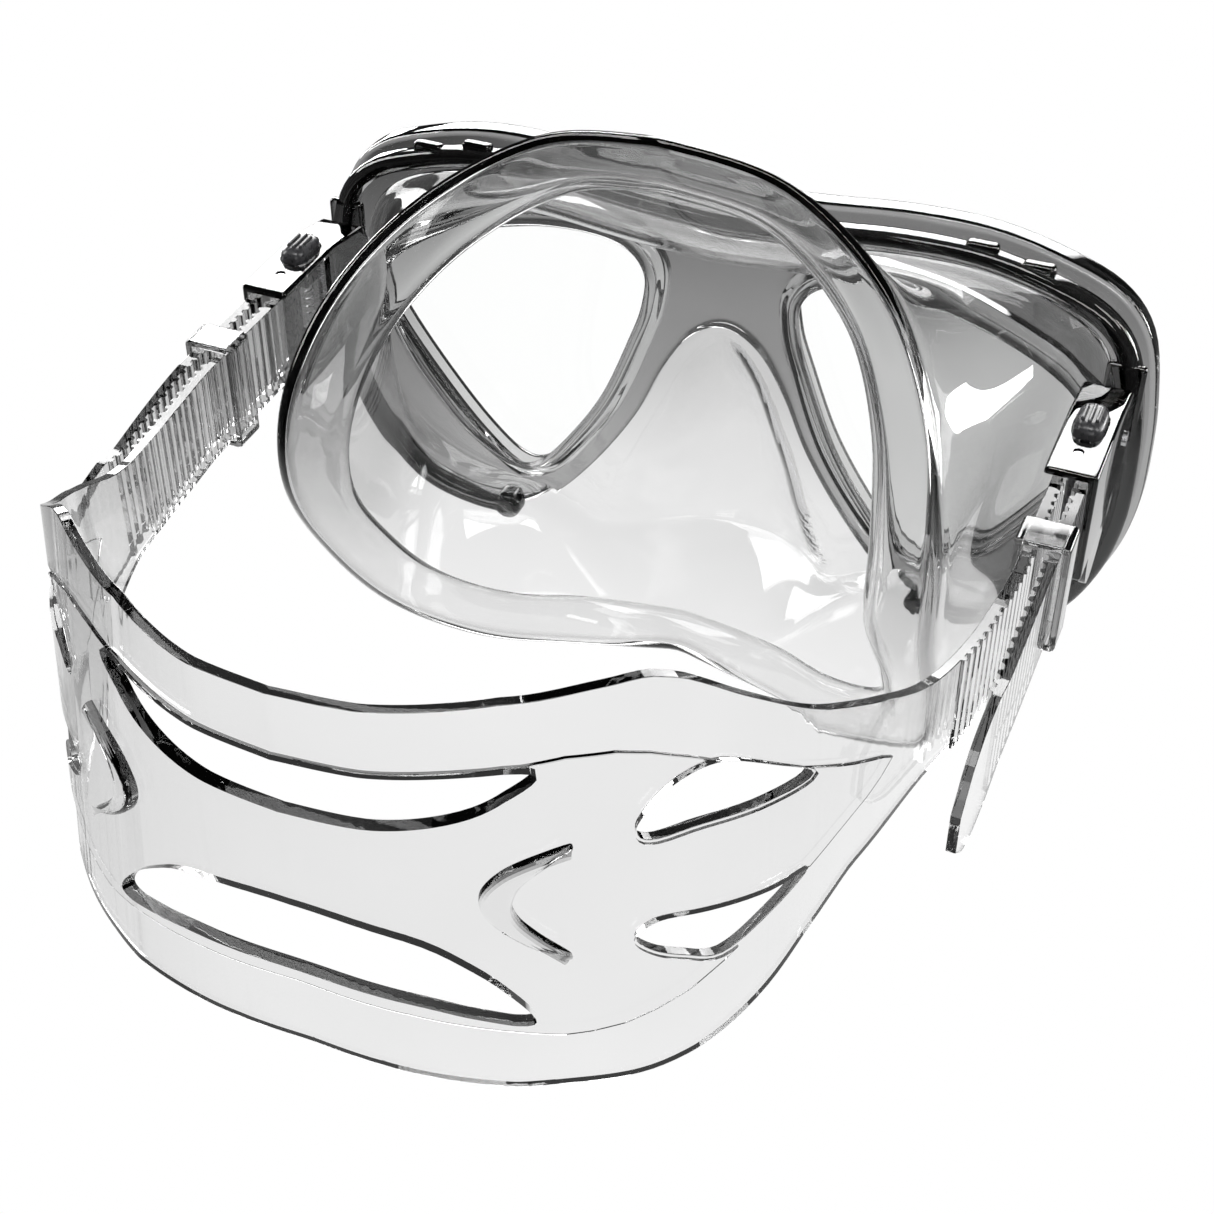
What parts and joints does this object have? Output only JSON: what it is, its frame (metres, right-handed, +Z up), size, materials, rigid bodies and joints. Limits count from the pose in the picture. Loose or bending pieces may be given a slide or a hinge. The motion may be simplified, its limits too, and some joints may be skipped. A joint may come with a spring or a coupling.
{
  "type": "diving mask",
  "caption": "Clear diving mask with separate glass lenses, silicone skirt with nose pocket, tilting squeeze buckles, keeper loops and a split head strap.",
  "frame": {"origin": "on the bezel's flat front face, at the bridge between the lenses, on the middle plane", "axes": "+Z up, -Y out of the mask the way the wearer looks, +X to the wearer's left"},
  "size_m": [0.1694, 0.1948, 0.1298],
  "materials": {
    "clear_polycarbonate": "polished clear moulding",
    "clear_silicone": "clear silicone, glossy with a faint haze",
    "tempered_glass": "polished",
    "smoke_plastic": "satin, smoky grey",
    "stainless_steel": "satin"
  },
  "bodies": {
    "mask": {"front_frame": "clear_polycarbonate", "rear_frame": "clear_polycarbonate", "lens_left": "tempered_glass", "lens_right": "tempered_glass", "skirt": "clear_silicone", "hinge_pin_left": "stainless_steel", "hinge_pin_right": "stainless_steel"},
    "head_strap": {"strap": "clear_silicone"},
    "buckle_left": {"buckle_body_left": "clear_polycarbonate", "pawl_pin_left": "stainless_steel", "button_spring_left": "stainless_steel"},
    "buckle_right": {"buckle_body_right": "clear_polycarbonate", "pawl_pin_right": "stainless_steel", "button_spring_right": "stainless_steel"},
    "upper_button_left": {"button_upper_left": "smoke_plastic"},
    "upper_button_right": {"button_upper_right": "smoke_plastic"},
    "lower_button_left": {"button_lower_left": "smoke_plastic"},
    "lower_button_right": {"button_lower_right": "smoke_plastic"},
    "pawl_left": {"strap_pawl_left": "smoke_plastic"},
    "pawl_right": {"strap_pawl_right": "smoke_plastic"},
    "roller_left": {"strap_roller_left": "stainless_steel"},
    "roller_right": {"strap_roller_right": "stainless_steel"},
    "loop_left": {"keeper_left": "clear_polycarbonate"},
    "loop_right": {"keeper_right": "clear_polycarbonate"}
  },
  "joints": [
    {"name": "strap_tilt", "type": "hinge", "parent": "mask", "child": "head_strap", "pos_m": [0, 0.019, -0.0097], "axis": [1, 0, 0], "range_deg": [-30, 30]},
    {"name": "buckle_left_tilt", "type": "hinge", "parent": "mask", "child": "buckle_left", "pos_m": [0.0764, 0.019, -0.0097], "axis": [1, 0, 0], "range_deg": [-30, 30]},
    {"name": "buckle_right_tilt", "type": "hinge", "parent": "mask", "child": "buckle_right", "pos_m": [-0.0764, 0.019, -0.0097], "axis": [1, 0, 0], "range_deg": [-30, 30]},
    {"name": "button_upper_left_press", "type": "slide", "parent": "buckle_left", "child": "upper_button_left", "axis": [0, 0, -1], "range_m": [0, 0.0012], "deforming": ["button_spring_left"]},
    {"name": "button_lower_left_press", "type": "slide", "parent": "buckle_left", "child": "lower_button_left", "axis": [0, 0, 1], "range_m": [0, 0.0012]},
    {"name": "pawl_left_release", "type": "hinge", "parent": "buckle_left", "child": "pawl_left", "pos_m": [0.0762, 0.042, -0.0097], "axis": [0, 0, -1], "range_deg": [0, 8]},
    {"name": "button_upper_right_press", "type": "slide", "parent": "buckle_right", "child": "upper_button_right", "axis": [0, 0, -1], "range_m": [0, 0.0012], "deforming": ["button_spring_right"]},
    {"name": "button_lower_right_press", "type": "slide", "parent": "buckle_right", "child": "lower_button_right", "axis": [0, 0, 1], "range_m": [0, 0.0012]},
    {"name": "pawl_right_release", "type": "hinge", "parent": "buckle_right", "child": "pawl_right", "pos_m": [-0.0762, 0.042, -0.0097], "axis": [0, 0, 1], "range_deg": [0, 8]},
    {"name": "roller_left_spin", "type": "hinge", "parent": "buckle_left", "child": "roller_left", "pos_m": [0.0764, 0.028, -0.0097], "axis": [0, 0, 1], "continuous": true},
    {"name": "roller_right_spin", "type": "hinge", "parent": "buckle_right", "child": "roller_right", "pos_m": [-0.0764, 0.028, -0.0097], "axis": [0, 0, 1], "continuous": true},
    {"name": "keeper_left_slide", "type": "slide", "parent": "head_strap", "child": "loop_left", "axis": [0, 1, 0], "range_m": [-0.01, 0.003]},
    {"name": "keeper_right_slide", "type": "slide", "parent": "head_strap", "child": "loop_right", "axis": [0, 1, 0], "range_m": [-0.01, 0.003]}
  ],
  "couplings": [
    {"joint": "buckle_left_tilt", "follows": "strap_tilt", "ratio": 1},
    {"joint": "buckle_right_tilt", "follows": "strap_tilt", "ratio": 1},
    {"joint": "button_lower_left_press", "follows": "button_upper_left_press", "ratio": 1},
    {"joint": "pawl_left_release", "follows": "button_upper_left_press", "rad_per_m": 110},
    {"joint": "button_lower_right_press", "follows": "button_upper_right_press", "ratio": 1},
    {"joint": "pawl_right_release", "follows": "button_upper_right_press", "rad_per_m": 110}
  ]
}
